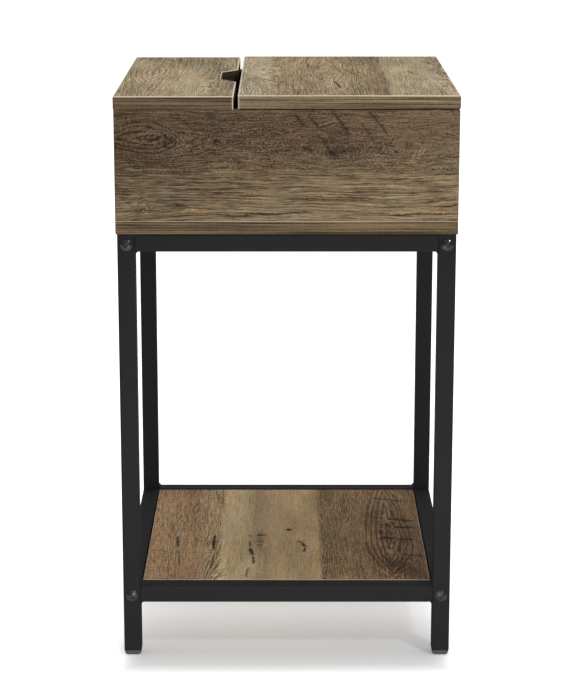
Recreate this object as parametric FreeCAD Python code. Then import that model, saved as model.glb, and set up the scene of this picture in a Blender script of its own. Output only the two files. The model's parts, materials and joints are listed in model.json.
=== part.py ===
import FreeCAD, Part
import math
import os

from FreeCAD import Vector

# Lift top end table, in millimetres. The origin is on the floor under the middle of the top.
# X runs to the right, Y to the back and Z up, so the front of the table faces -Y.

# Overall size
table_width = 380.0
table_depth = 400.0
table_height = 650.0

# Top boards: a fixed board on the left, a lifting lid on the right and a slot between them
top_thickness = 15.0
fixed_top_width = 132.0
slot_width = 4.5
top_edge_radius = 1.3
board_edge_radius = 0.7
notch_mouth = 124.0
notch_floor = 76.0
notch_depth = 18.5
notch_inner_radius = 9.0
notch_lip_radius = 8.0

# Storage box
tub_height = 123.0
wall_thickness = 15.0
floor_thickness = 15.0
box_setback = 0.5
bumper_diameter = 8.0
bumper_height = 1.0
bumper_end_inset = 24.0

# Square tube frame
tube_size = 20.0
tube_wall = 1.2
tube_corner_radius = 2.0
tube_bore_radius_share = 0.4
frame_setback = 2.0
shelf_rail_height = 65.0
weld_leg = 3.0
weld_width = 15.0

# Foot glides
glide_height = 6.0
glide_setback = 0.5
glide_corner_radius = 4.0
glide_base_radius = 3.5
glide_stem_length = 14.0
glide_stem_gap = 0.2

# Shelf and the tabs under it
shelf_thickness = 12.0
shelf_recess = 0.5
shelf_gap = 3.0
shelf_side_gap = 1.5
tab_length = 30.0
tab_reach = 18.0
tab_thickness = 2.5
tab_corner_radius = 3.0
tab_spacing = 220.0
shelf_screw_bite = 9.0

# Flanged bolts that hold the side rails, and the threaded plugs in the rail ends
bolt_diameter = 6.0
bolt_drop = 2.0
bolt_grip = 15.0
bolt_head_diameter = 12.4
bolt_head_height = 2.6
bolt_head_rim = 0.5
bolt_flange_diameter = 14.0
bolt_flange_height = 1.0
bolt_flange_rim = 0.7
bolt_socket_across = 5.0
bolt_socket_depth = 2.2
bolt_hole_gap = 0.3
plug_length = 16.0
plug_gap = 0.1

# Wood screws with domed heads
screw_diameter = 4.0
screw_head_diameter = 8.0
screw_head_height = 1.9
screw_head_rim = 0.4
screw_tip = 3.0
screw_bite = 11.0
screw_hole_gap = 0.25
frame_screw_spacing = 200.0

# Cross recesses for the driver in screw heads and cam locks
recess_span = 4.4
recess_slot = 1.0
recess_depth = 1.5

# Countersunk screws that hold the tub floor to the walls
floor_screw_diameter = 5.0
floor_screw_head_diameter = 9.0
floor_screw_head_height = 3.0
floor_screw_bite = 25.0
floor_screw_tip = 4.0
floor_screw_spacing_x = 220.0
floor_screw_spacing_y = 290.0

# Dowels and cam fittings that join the boards
dowel_diameter = 6.0
dowel_in_face = 9.0
dowel_in_edge = 16.0
dowel_gap = 0.1
corner_dowel_spacing = 74.0
top_dowel_spacing = 70.0
side_top_dowel_spacing = 240.0
cam_diameter = 15.0
cam_depth = 12.0
cam_backset = 24.0
cam_bolt_diameter = 6.0
cam_bolt_neck = 4.2
cam_bolt_head = 5.0
cam_bolt_thread = 10.0
cam_gap = 0.15

# Parallel lift arms: angle of the arms at rest, their travel and the pair of pivots at each end
arm_rise_angle = 15.0
lift_travel = 90.0
pivot_spacing = 30.0
pivot_tilt_angle = 30.0
arm_width = 20.0
arm_thickness = 3.0
arm_lid_clearance = 3.0
arm_wall_clearance = 2.5
cross_tube_diameter = 12.0
cross_tube_wall = 1.5
cross_tube_share = 0.45

# Pivot pins of the arms
pin_diameter = 8.0
pin_head_diameter = 13.0
pin_head_height = 2.0
pin_peen_diameter = 11.0
pin_peen_height = 1.5
pin_rim = 0.6
pin_gap = 0.08
open_pivot_gap = 0.3
side_play = 0.2
spacer_diameter = 14.0
spacer_length = 3.0

# Brackets of the lift: one on each box wall, and one under each end of the lid
lift_bracket_thickness = 2.5
lift_bracket_margin = 13.0
lift_bracket_tail = 33.0
lift_bracket_drop = 30.0
lift_bracket_radius = 8.0
lift_screw_inset = 8.0
lid_bracket_thickness = 2.0
lid_bracket_bend = 1.5
lid_flange_width = 25.0
lid_bracket_setback = 11.0
lid_bracket_margin = 14.0
lid_bracket_slope = 30.0
lid_bracket_radius = 8.0
lid_lip_depth = 10.0
lid_bracket_end_gap = 70.0
lid_screw_inset = 14.0

# Working values
overrun = 1.0
edge_tolerance = 0.01
parallel_share = 0.9
full_turn = 360.0
hex_sides = 6

# Levels from the floor up, and half sizes from the middle out
lid_bottom = table_height - top_thickness
wall_top = lid_bottom - bumper_height
tub_floor_top = wall_top - tub_height
box_bottom = tub_floor_top - floor_thickness
top_rail_bottom = box_bottom - tube_size
shelf_rail_top = shelf_rail_height + tube_size
shelf_top = shelf_rail_top - shelf_recess
shelf_bottom = shelf_top - shelf_thickness
tab_bottom = shelf_bottom - tab_thickness
half_width = table_width / 2
half_depth = table_depth / 2
box_half_x = half_width - box_setback
box_half_y = half_depth - box_setback
inner_half_x = box_half_x - wall_thickness
inner_half_y = box_half_y - wall_thickness
wall_mid_x = box_half_x - wall_thickness / 2
wall_mid_y = box_half_y - wall_thickness / 2
frame_half_x = half_width - frame_setback
frame_half_y = half_depth - frame_setback
bay_half_x = frame_half_x - tube_size
bay_half_y = frame_half_y - tube_size
leg_x = frame_half_x - tube_size / 2
leg_y = frame_half_y - tube_size / 2
rail_levels = {
    "top": (top_rail_bottom, box_bottom),
    "shelf": (shelf_rail_height, shelf_rail_top),
}
fixed_top_right = fixed_top_width - half_width
lid_left = fixed_top_right + slot_width

# Sides of the table and the sign of their axis
ends = {"front": -1, "rear": 1}
hands = {"left": -1, "right": 1}

x_axis = Vector(1, 0, 0)
y_axis = Vector(0, 1, 0)
z_axis = Vector(0, 0, 1)

# Every hole that is drilled for a fastener; a board or tube is cut by those that reach it
holes = []
nodes = {}


def block(x, y, z):
    """A box between three pairs of limits."""
    low = Vector(min(x), min(y), min(z))
    return Part.makeBox(max(x) - low.x, max(y) - low.y, max(z) - low.z, low)


def inset(pair, amount):
    """A pair of limits drawn in by an amount at both ends."""
    return min(pair) + amount, max(pair) - amount


def around(middle, size):
    """The pair of limits of a size centred on a place."""
    return middle - size / 2, middle + size / 2


def rod(start, direction, length, diameter):
    """A round bar from a start point along a direction."""
    return Part.makeCylinder(diameter / 2, length, start, direction)


def edges_along(solid, axis):
    """The straight edges of a solid that run along an axis."""
    found = []
    for edge in solid.Edges:
        step = edge.lastVertex().Point - edge.firstVertex().Point
        if step.Length > edge_tolerance and abs(step.normalize().dot(axis)) > parallel_share:
            found.append(edge)
    return found


def bar(x, y, z, axis, radius):
    """A box whose edges along one axis are rounded."""
    solid = block(x, y, z)
    return solid.makeFillet(radius, edges_along(solid, axis))


def board(x, y, z, radius):
    """A laminated board with every edge eased."""
    panel = block(x, y, z)
    return panel.makeFillet(radius, panel.Edges)


def square_tube(x, y, z, axis):
    """A welded square tube along an axis, open at both ends."""
    bore = []
    for pair, share in zip((x, y, z), (axis.x, axis.y, axis.z)):
        bore.append(inset(pair, -overrun if share else tube_wall))
    outside = bar(x, y, z, axis, tube_corner_radius)
    return outside.cut(bar(*bore, axis, tube_corner_radius * tube_bore_radius_share))


def drilled(solid):
    """A solid cut by each fastener hole that reaches it."""
    reached = [hole for hole in holes if hole.BoundBox.intersect(solid.BoundBox)]
    return solid.cut(reached).Solids[0] if reached else solid


def prism(points, depth):
    """A closed outline of points, filled and drawn out along a depth."""
    return Part.Face(Part.makePolygon(points + points[:1])).extrude(depth)


def turned(profile, seat, outward):
    """A half profile, drawn in X and Z, turned about an axis through a seat."""
    solid = Part.Face(Part.Wire(profile)).revolve(Vector(), z_axis, full_turn)
    solid.Placement = FreeCAD.Placement(seat, FreeCAD.Rotation(z_axis, outward))
    return solid


def polyline(points):
    """Straight edges through points given as radius and height."""
    corners = [Vector(radius, 0, height) for radius, height in points]
    return [Part.LineSegment(a, b).toShape() for a, b in zip(corners, corners[1:])]


def domed_pin(seat, outward, head, shank, tip=0):
    """A pin with a domed head that sits on a seat: head is diameter, height and rim, and shank is
    diameter and length."""
    radius = head[0] / 2
    rise = head[1] - head[2]
    curve = (radius ** 2 + rise ** 2) / (2 * rise)
    middle = head[1] - curve + math.sqrt(curve ** 2 - (radius / 2) ** 2)
    dome = Part.Arc(Vector(0, 0, head[1]), Vector(radius / 2, 0, middle), Vector(radius, 0, head[2]))
    side = [(radius, head[2]), (radius, 0), (shank[0] / 2, 0), (shank[0] / 2, tip - shank[1])]
    return turned([dome.toShape()] + polyline(side + [(0, -shank[1]), (0, head[1])]), seat, outward)


def cross_recess(top, outward):
    """The recess for a driver in the middle of a head: two slots that cross."""
    depth = (overrun, -recess_depth)
    first = block(around(0, recess_span), around(0, recess_slot), depth)
    second = block(around(0, recess_slot), around(0, recess_span), depth)
    cross = first.fuse(second)
    cross.Placement = FreeCAD.Placement(top, FreeCAD.Rotation(z_axis, outward))
    return cross


def wood_screw(seat, outward, length):
    """A domed wood screw with its seat under the head; its hole is noted for drilling."""
    holes.append(rod(seat + outward * overrun, -outward, overrun + length + screw_hole_gap,
                     screw_diameter + 2 * screw_hole_gap))
    head = (screw_head_diameter, screw_head_height, screw_head_rim)
    screw = domed_pin(seat, outward, head, (screw_diameter, length), screw_tip)
    return screw.cut(cross_recess(seat + outward * screw_head_height, outward))


def floor_screw(seat):
    """A countersunk screw that goes up through the tub floor into a wall's lower edge."""
    length = floor_thickness + floor_screw_bite
    gap = screw_hole_gap

    def cone(extra, depth, tip):
        head = floor_screw_head_diameter / 2 + extra
        shank = floor_screw_diameter / 2 + extra
        points = [(0, 0), (head, 0), (shank, -floor_screw_head_height), (shank, tip - depth)]
        return turned(polyline(points + [(0, -depth), (0, 0)]), seat, -z_axis)

    holes.append(cone(gap, length + gap, 0))
    return cone(0, length, floor_screw_tip).cut(cross_recess(seat, -z_axis))


def dowel(joint, into_edge):
    """A wooden dowel across a joint, longer in the board's edge than in the other's face."""
    start = joint - into_edge * dowel_in_face
    length = dowel_in_face + dowel_in_edge
    holes.append(rod(start - into_edge * dowel_gap, into_edge, length + 2 * dowel_gap,
                     dowel_diameter + 2 * dowel_gap))
    return rod(start, into_edge, length, dowel_diameter)


def cam_fitting(joint, into_edge, facing):
    """A cam lock in a wall's inner face and the bolt that it pulls across the joint."""
    centre = joint + into_edge * cam_backset
    face = centre + facing * (wall_thickness / 2)
    pocket = rod(face + facing * overrun, -facing, overrun + cam_depth + cam_gap,
                 cam_diameter + 2 * cam_gap)
    thread_start = joint - into_edge * cam_bolt_thread
    way = rod(thread_start - into_edge * cam_gap, into_edge,
              cam_bolt_thread + cam_backset + cam_bolt_head / 2 + 2 * cam_gap,
              cam_bolt_diameter + 2 * cam_gap)
    holes.extend([pocket, way])
    bolt = rod(thread_start, into_edge, cam_bolt_thread, cam_bolt_diameter)
    bolt = bolt.fuse(rod(joint, into_edge, cam_backset, cam_bolt_neck))
    bolt = bolt.fuse(rod(centre - into_edge * (cam_bolt_head / 2), into_edge, cam_bolt_head, cam_bolt_head))
    lock = rod(face, -facing, cam_depth, cam_diameter).cut([way, cross_recess(face, facing)])
    nodes.setdefault("cam_locks", []).append(lock)
    nodes.setdefault("cam_bolts", []).append(bolt)


def fasten_box():
    """Dowels, cams and screws that hold the boards of the box together and to the frame."""
    corner_middle = (tub_floor_top + wall_top) / 2
    dowels = []
    for end in ends.values():
        for hand in hands.values():
            corner = Vector(hand * wall_mid_x, end * inner_half_y, corner_middle)
            inward = y_axis * -end
            for level in around(0, corner_dowel_spacing):
                dowels.append(dowel(corner + z_axis * level, inward))
            cam_fitting(corner, inward, x_axis * -hand)
        edge = Vector(fixed_top_right - fixed_top_width / 2, end * wall_mid_y, wall_top)
        for shift in around(0, top_dowel_spacing):
            dowels.append(dowel(edge + x_axis * shift, -z_axis))
        cam_fitting(edge, -z_axis, y_axis * -end)
    edge = Vector(-wall_mid_x, 0, wall_top)
    for shift in around(0, side_top_dowel_spacing):
        dowels.append(dowel(edge + y_axis * shift, -z_axis))
    cam_fitting(edge, -z_axis, x_axis)
    nodes["dowels"] = dowels
    seats = [Vector(x, end * wall_mid_y, box_bottom)
             for x in around(0, floor_screw_spacing_x) for end in ends.values()]
    seats += [Vector(hand * wall_mid_x, y, box_bottom)
              for y in around(0, floor_screw_spacing_y) for hand in hands.values()]
    nodes["floor_screws"] = [floor_screw(seat) for seat in seats]
    nodes["frame_screws"] = [
        wood_screw(Vector(hand * leg_x, y, top_rail_bottom), -z_axis, tube_size + screw_bite)
        for y in around(0, frame_screw_spacing) for hand in hands.values()]


def fasten_shelf():
    """Tabs on the side rails under the shelf, with a screw up through each."""
    tabs = []
    screws = []
    for hand in hands.values():
        for y in around(0, tab_spacing):
            reach = (hand * bay_half_x, hand * (bay_half_x - tab_reach))
            seat = Vector(sum(reach) / 2, y, tab_bottom)
            screws.append(wood_screw(seat, -z_axis, tab_thickness + shelf_screw_bite))
            tab = block(reach, around(y, tab_length), (tab_bottom, shelf_bottom))
            free = [edge for edge in edges_along(tab, z_axis)
                    if abs(edge.CenterOfMass.x) < bay_half_x - edge_tolerance]
            tabs.append(tab.makeFillet(tab_corner_radius, free))
    nodes["shelf_screws"] = screws
    nodes["shelf_tabs"] = [drilled(tab) for tab in tabs]


def hex_socket(seat, inward):
    """The six-sided recess for the key in a bolt head."""
    corner = bolt_socket_across / 2 / math.cos(math.pi / hex_sides)
    turns = [2 * math.pi * side / hex_sides for side in range(hex_sides)]
    points = [Vector(corner * math.cos(turn), 0, corner * math.sin(turn)) + seat for turn in turns]
    return prism(points, inward * bolt_socket_depth)


def fasten_frame():
    """Flanged bolts through the legs into threaded plugs in the side rail ends."""
    bolts = []
    plugs = []
    bore = tube_size - 2 * (tube_wall + plug_gap)
    for end in ends.values():
        outward = y_axis * end
        for hand in hands.values():
            for level in rail_levels.values():
                rail_middle = sum(level) / 2
                seat = Vector(hand * leg_x, end * frame_half_y, rail_middle - bolt_drop)
                length = tube_size + bolt_grip
                head = (bolt_head_diameter, bolt_head_height, bolt_head_rim)
                bolt = domed_pin(seat + outward * bolt_flange_height, outward, head,
                                 (bolt_diameter, length + bolt_flange_height))
                flange = rod(seat, outward, bolt_flange_height, bolt_flange_diameter)
                face = seat + outward * bolt_flange_height
                rim = [edge for edge in flange.Edges
                       if edge.CenterOfMass.distanceToPoint(face) < edge_tolerance]
                bolt = bolt.fuse(flange.makeFillet(bolt_flange_rim, rim))
                top = face + outward * bolt_head_height
                bolts.append(bolt.cut(hex_socket(top, -outward)))
                holes.append(rod(seat + outward * overrun, -outward, overrun + length + bolt_hole_gap,
                                 bolt_diameter + 2 * bolt_hole_gap))
                plug_y = (end * bay_half_y, end * (bay_half_y - plug_length))
                plugs.append(bar(around(seat.x, bore), plug_y, around(rail_middle, bore), y_axis,
                                 tube_corner_radius * tube_bore_radius_share))
    nodes["frame_bolts"] = bolts
    nodes["rail_plugs"] = [drilled(plug) for plug in plugs]


def glide(x, y):
    """A moulded foot pushed into the lower end of a leg."""
    foot_size = tube_size - 2 * glide_setback
    foot = bar(around(x, foot_size), around(y, foot_size), (0, glide_height), z_axis, glide_corner_radius)
    base = [edge for edge in foot.Edges if edge.BoundBox.ZMax < edge_tolerance]
    foot = foot.makeFillet(glide_base_radius, base)
    stem_size = tube_size - 2 * (tube_wall + glide_stem_gap)
    stem = bar(around(x, stem_size), around(y, stem_size), (glide_height, glide_height + glide_stem_length),
               z_axis, tube_corner_radius * tube_bore_radius_share)
    return foot.fuse(stem)


def weld(x, y, z, toward_x, toward_z):
    """A small weld fillet in the corner between a leg and a rail."""
    low = y - weld_width / 2
    points = [Vector(x, low, z), Vector(x + toward_x * weld_leg, low, z),
              Vector(x, low, z + toward_z * weld_leg)]
    return prism(points, y_axis * weld_width)


def make_frame():
    """Legs, rails, feet and the welds of the front and rear ladders."""
    welds = []
    for end_name, end in ends.items():
        for hand_name, hand in hands.items():
            name = end_name + "_" + hand_name
            x = around(hand * leg_x, tube_size)
            y = around(end * leg_y, tube_size)
            leg = square_tube(x, y, (glide_height, box_bottom), z_axis)
            nodes[name + "_leg"] = [drilled(leg)]
            nodes[name + "_glide"] = [glide(hand * leg_x, end * leg_y)]
            for low, high in rail_levels.values():
                welds.append(weld(hand * bay_half_x, end * leg_y, low, -hand, -1))
            welds.append(weld(hand * bay_half_x, end * leg_y, shelf_rail_top, -hand, 1))
        for level_name, level in rail_levels.items():
            rail = square_tube((-bay_half_x, bay_half_x), around(end * leg_y, tube_size), level, x_axis)
            nodes[end_name + "_" + level_name + "_rail"] = [rail]
    for hand_name, hand in hands.items():
        for level_name, level in rail_levels.items():
            rail = square_tube(around(hand * leg_x, tube_size), (-bay_half_y, bay_half_y), level, y_axis)
            nodes[hand_name + "_" + level_name + "_rail"] = [drilled(rail)]
    nodes["weld_fillets"] = welds


def fixed_top():
    """The fixed top board, with a finger notch in the edge beside the lid."""
    panel = block((-half_width, fixed_top_right), (-half_depth, half_depth),
                  (wall_top, wall_top + top_thickness))
    low = wall_top - overrun
    notch_left = fixed_top_right - notch_depth
    slant = (notch_mouth - notch_floor) / 2 / notch_depth
    mouth = notch_mouth / 2 + slant * overrun
    points = [Vector(fixed_top_right + overrun, -mouth, low), Vector(notch_left, -notch_floor / 2, low),
              Vector(notch_left, notch_floor / 2, low), Vector(fixed_top_right + overrun, mouth, low)]
    panel = panel.cut(prism(points, z_axis * (top_thickness + 2 * overrun)))
    inner = [edge for edge in edges_along(panel, z_axis)
             if abs(edge.CenterOfMass.x - notch_left) < edge_tolerance]
    panel = panel.makeFillet(notch_inner_radius, inner)
    lips = [edge for edge in edges_along(panel, z_axis)
            if abs(abs(edge.CenterOfMass.y) - notch_mouth / 2) < edge_tolerance]
    panel = panel.makeFillet(notch_lip_radius, lips)
    eased = [edge for edge in panel.Edges if edge.BoundBox.ZLength < edge_tolerance
             or abs(edge.CenterOfMass.y) > half_depth - edge_tolerance]
    return panel.makeFillet(top_edge_radius, eased)


def make_boards():
    """The boards of the box, the top and the shelf."""
    walls = (tub_floor_top, wall_top)
    for end_name, end in ends.items():
        y = (end * inner_half_y, end * box_half_y)
        nodes[end_name + "_panel"] = [drilled(board((-box_half_x, box_half_x), y, walls, board_edge_radius))]
    for hand_name, hand in hands.items():
        x = (hand * inner_half_x, hand * box_half_x)
        side = board(x, (-inner_half_y, inner_half_y), walls, board_edge_radius)
        nodes[hand_name + "_panel"] = [drilled(side)]
    tub_floor = board((-box_half_x, box_half_x), (-box_half_y, box_half_y), (box_bottom, tub_floor_top),
                      board_edge_radius)
    nodes["tub_floor_panel"] = [drilled(tub_floor)]
    nodes["fixed_top_panel"] = [drilled(fixed_top())]
    lid = board((lid_left, half_width), (-half_depth, half_depth), (lid_bottom, table_height),
                top_edge_radius)
    nodes["lid_board"] = [drilled(lid)]
    shelf_x = inset((-bay_half_x, bay_half_x), shelf_side_gap)
    shelf_y = inset((-bay_half_y, bay_half_y), shelf_gap)
    nodes["shelf_panel"] = [drilled(board(shelf_x, shelf_y, (shelf_bottom, shelf_top), board_edge_radius))]
    nodes["lid_bumpers"] = [
        rod(Vector(x, end * wall_mid_y, wall_top), z_axis, bumper_height, bumper_diameter)
        for x in inset((lid_left, half_width), bumper_end_inset) for end in ends.values()]


# The arms' pivots. At rest an arm rises to the left from its base pivot. Fully open, it leans to the
# right past upright, where the guide arm stops short of the right wall.
rise = math.radians(arm_rise_angle)
tilt = math.radians(pivot_tilt_angle)
open_lean = math.radians(arm_rise_angle + lift_travel) - math.pi / 2
pivot_step = Vector(math.cos(tilt), 0, math.sin(tilt)) * pivot_spacing
lid_pivot_x = lid_left + lid_bracket_setback + lid_bracket_margin
guide_lid_level = lid_bottom - lid_bracket_thickness - arm_lid_clearance - arm_width / 2
arm_reach = (inner_half_x - arm_wall_clearance - arm_width / 2 / math.cos(open_lean)
             - (wall_top - guide_lid_level) * math.tan(open_lean) - lid_pivot_x - pivot_step.x)
arm_length = arm_reach / (math.cos(rise) + math.sin(rise) * math.tan(open_lean))
arm_vector = Vector(-math.cos(rise), 0, math.sin(rise)) * arm_length
lift_lid_pivot = Vector(lid_pivot_x, 0, guide_lid_level - pivot_step.z)
guide_lid_pivot = lift_lid_pivot + pivot_step
lift_base_pivot = lift_lid_pivot - arm_vector
guide_base_pivot = guide_lid_pivot - arm_vector

# Distances of the lift's layers from the inner face of the box wall
arm_near = lift_bracket_thickness + spacer_length + side_play
arm_far = arm_near + arm_thickness
lid_plate_near = arm_far + side_play
lid_plate_far = lid_plate_near + lid_bracket_thickness


def layer(point, end, distance):
    """A pivot point moved to a distance inward from the front or rear wall."""
    return Vector(point.x, end * (inner_half_y - distance), point.z)


def pivot_hole(point, end, gap):
    """The hole for a pin through every layer of the lift at one pivot."""
    start = layer(point, end, -overrun)
    return rod(start, y_axis * -end, overrun + lid_plate_far + overrun, pin_diameter + 2 * gap)


def arm(base, lid, end, lid_gap):
    """A flat arm with round ends between a base pivot and a lid pivot."""
    low = layer(base, end, arm_near)
    high = layer(lid, end, arm_near)
    along = Vector(high - low).normalize() * (arm_width / 2)
    across = Vector(-along.z, 0, along.x)
    outline = Part.Wire([
        Part.LineSegment(low + across, high + across).toShape(),
        Part.Arc(high + across, high + along, high - across).toShape(),
        Part.LineSegment(high - across, low - across).toShape(),
        Part.Arc(low - across, low - along, low + across).toShape()])
    plate = Part.Face(outline).extrude(y_axis * (-end * arm_thickness))
    return plate.cut([pivot_hole(base, end, pin_gap), pivot_hole(lid, end, lid_gap)])


def lift_bracket(end, screws):
    """The plate on a box wall that carries both base pivots, with its screws."""
    x = (lift_base_pivot.x - lift_bracket_tail, guide_base_pivot.x + lift_bracket_margin)
    z = (lift_base_pivot.z - lift_bracket_drop, guide_base_pivot.z + lift_bracket_margin)
    y = (end * inner_half_y, end * (inner_half_y - lift_bracket_thickness))
    screw_x = inset(x, lift_screw_inset)
    screw_z = inset(z, lift_screw_inset)
    for place in ((screw_x[0], screw_z[0]), (screw_x[1], screw_z[0]), (screw_x[0], screw_z[1])):
        seat = layer(Vector(place[0], 0, place[1]), end, lift_bracket_thickness)
        screws.append(wood_screw(seat, y_axis * -end, lift_bracket_thickness + screw_bite))
    plate = drilled(bar(x, y, z, y_axis, lift_bracket_radius))
    return plate.cut([pivot_hole(point, end, pin_gap) for point in (lift_base_pivot, guide_base_pivot)])


def lid_bracket(end, screws):
    """A bent plate under the lid: a flange against the lid and a cheek that carries both lid pivots."""
    left = lid_left + lid_bracket_setback
    right = half_width - lid_bracket_end_gap
    low = lift_lid_pivot.z - lid_bracket_margin
    lip = lid_bottom - lid_lip_depth
    cheek_right = guide_lid_pivot.x
    near = end * (inner_half_y - lid_plate_near)
    inner = end * (inner_half_y - lid_plate_far)
    far = end * (inner_half_y - lid_plate_near - lid_flange_width)
    angle = block((left, right), (near, far), (low, lid_bottom))
    angle = angle.cut(block(inset((left, right), -overrun), (inner, far - end * overrun),
                            (low - overrun, lid_bottom - lid_bracket_thickness)))
    for corner_y, level, radius in ((near, lid_bottom, lid_bracket_bend + lid_bracket_thickness),
                                    (inner, lid_bottom - lid_bracket_thickness, lid_bracket_bend)):
        fold = [edge for edge in edges_along(angle, x_axis)
                if abs(edge.CenterOfMass.y - corner_y) < edge_tolerance
                and abs(edge.CenterOfMass.z - level) < edge_tolerance]
        angle = angle.makeFillet(radius, fold)
    start = near + end * overrun
    points = [Vector(left, start, lid_bottom + overrun), Vector(left, start, low),
              Vector(cheek_right, start, low), Vector(cheek_right + lid_bracket_slope, start, lip),
              Vector(right, start, lip), Vector(right, start, lid_bottom + overrun)]
    shape = prism(points, y_axis * (-end * (lid_flange_width + 2 * overrun)))
    rounded = [edge for edge in edges_along(shape, y_axis) if edge.CenterOfMass.z < lid_bottom]
    cheek = angle.common(shape.makeFillet(lid_bracket_radius, rounded[:3])).Solids[0]
    middle_y = (inner + far) / 2
    for x in inset((left, right), lid_screw_inset) + ((left + right) / 2,):
        seat = Vector(x, middle_y, lid_bottom - lid_bracket_thickness)
        screws.append(wood_screw(seat, -z_axis, lid_bracket_thickness + screw_bite))
    cheek = drilled(cheek)
    return cheek.cut([pivot_hole(point, end, pin_gap) for point in (lift_lid_pivot, guide_lid_pivot)])


def make_lift():
    """The linkage that carries the lid, one set at the front wall and one at the rear."""
    wall_screws = []
    lid_screws = []
    base_pins = []
    lid_pins = []
    spacers = []
    head = (pin_head_diameter, pin_head_height, pin_rim)
    for end_name, end in ends.items():
        inward = y_axis * -end
        nodes[end_name + "_lift_bracket"] = [lift_bracket(end, wall_screws)]
        nodes[end_name + "_lid_bracket"] = [lid_bracket(end, lid_screws)]
        nodes[end_name + "_lift_arm"] = [arm(lift_base_pivot, lift_lid_pivot, end, pin_gap)]
        nodes[end_name + "_guide_arm"] = [arm(guide_base_pivot, guide_lid_pivot, end, open_pivot_gap)]
        for point in (lift_base_pivot, guide_base_pivot):
            base_pins.append(domed_pin(layer(point, end, lid_plate_near), inward, head,
                                       (pin_diameter, lid_plate_near)))
            ring = rod(layer(point, end, lift_bracket_thickness), inward, spacer_length, spacer_diameter)
            spacers.append(ring.cut(pivot_hole(point, end, pin_gap)))
        for point in (lift_lid_pivot, guide_lid_pivot):
            seat = layer(point, end, arm_near - side_play)
            pin = domed_pin(seat, -inward, head, (pin_diameter, lid_plate_far - arm_near + side_play))
            peen = rod(layer(point, end, lid_plate_far), inward, pin_peen_height, pin_peen_diameter)
            lid_pins.append(pin.fuse(peen))
    nodes["lift_bracket_screws"] = wall_screws
    nodes["lid_bracket_screws"] = lid_screws
    nodes["base_pivot_pins"] = base_pins
    nodes["lid_pivot_pins"] = lid_pins
    nodes["pivot_spacers"] = spacers
    tube_start = layer(lift_base_pivot + arm_vector * cross_tube_share, ends["front"], arm_far)
    tube_length = 2 * (inner_half_y - arm_far)
    tube = rod(tube_start, y_axis, tube_length, cross_tube_diameter)
    bore = rod(tube_start - y_axis * overrun, y_axis, tube_length + 2 * overrun,
               cross_tube_diameter - 2 * cross_tube_wall)
    nodes["cross_tube"] = [tube.cut(bore)]


# Fasteners come first, because the boards, rails and brackets are drilled for them
fasten_box()
fasten_shelf()
fasten_frame()
make_lift()
make_frame()
make_boards()

os.makedirs("parts", exist_ok=True)
for node_name, node_solids in nodes.items():
    node_shape = node_solids[0] if len(node_solids) == 1 else Part.makeCompound(node_solids)
    node_shape.exportStep("parts/" + node_name + ".step")
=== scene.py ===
import json
import math
from collections import namedtuple

import bpy
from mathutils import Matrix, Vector


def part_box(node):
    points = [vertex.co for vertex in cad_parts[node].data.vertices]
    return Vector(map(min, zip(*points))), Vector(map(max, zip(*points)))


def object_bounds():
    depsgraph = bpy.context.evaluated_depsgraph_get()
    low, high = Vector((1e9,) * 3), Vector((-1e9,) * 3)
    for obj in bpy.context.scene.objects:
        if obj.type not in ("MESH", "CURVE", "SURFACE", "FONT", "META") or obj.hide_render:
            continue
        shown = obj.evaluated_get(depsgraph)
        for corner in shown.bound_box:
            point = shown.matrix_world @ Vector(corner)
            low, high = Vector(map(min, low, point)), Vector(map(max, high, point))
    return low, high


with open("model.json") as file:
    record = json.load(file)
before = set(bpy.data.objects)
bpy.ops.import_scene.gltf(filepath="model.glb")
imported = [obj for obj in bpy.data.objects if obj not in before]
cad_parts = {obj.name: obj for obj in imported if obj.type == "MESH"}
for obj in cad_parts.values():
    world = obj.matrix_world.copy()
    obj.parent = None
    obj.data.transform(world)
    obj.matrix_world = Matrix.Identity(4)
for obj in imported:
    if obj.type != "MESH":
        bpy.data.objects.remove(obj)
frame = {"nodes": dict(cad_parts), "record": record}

cad_low, cad_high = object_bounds()

X, Y, Z = range(3)
WHITE = (1.0, 1.0, 1.0, 1.0)

# Camera: the photograph's viewpoint, tilted down onto the table with no lens shift
CAMERA_PLACE = (-0.003, -2.592, 0.947)
CAMERA_TILT = math.radians(13.68)
CAMERA_LENS = 113.1
SENSOR_WIDTH = 36.0

# Lamps: a wide key above, a fill in front, a small one for the glints and a weak one low before the legs
KEY_PLACE = (0.15, 0.45, 2.6)
KEY_SIZE = 2.2
KEY_POWER = 22.7
FILL_PLACE = (0.9, -2.6, 1.2)
FILL_SIZE = 1.6
FILL_POWER = 5.5
GLINT_PLACE = (1.5, -2.0, 2.4)
GLINT_SIZE = 0.36
GLINT_POWER = 16.0
LOW_PLACE = (0.0, -0.62, 0.10)
LOW_TARGET = (0.0, -0.19, 0.12)
LOW_SIZE = 0.5
LOW_POWER = 1.0

# World: its light on the table, and the room that gloss reflects, which brightens from level to its top
AMBIENT_STRENGTH = 0.48
ROOM_LOW = 0.2
ROOM_HIGH = 0.45
ROOM_TOP = 0.7

# Floor: only the camera sees its lift to white, which is weaker in an oblong below the table and paints a
# shadow there over the real one. There it grows from front to back, and the oblong's rim fades out at
# SHADE_END times its half sizes.
FLOOR_HALF = 12.0
FLOOR_CORNERS = ((-1, -1), (1, -1), (1, 1), (-1, 1))
FLOOR_COLOUR = (0.9, 0.9, 0.9, 1.0)
FLOOR_ROUGHNESS = 0.9
FLOOR_SHINE = 0.1
FLOOR_LIFT = 0.85
SHADE_MIDDLE = (0.0, 0.02, 0.0)
SHADE_HALF = (0.168, 0.24, 1.0)
SHADE_END = 1.3
SHADE_FRONT = -0.20
SHADE_BACK = -0.05
SHADE_LIFTS = (0.12, 0.54)

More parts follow.
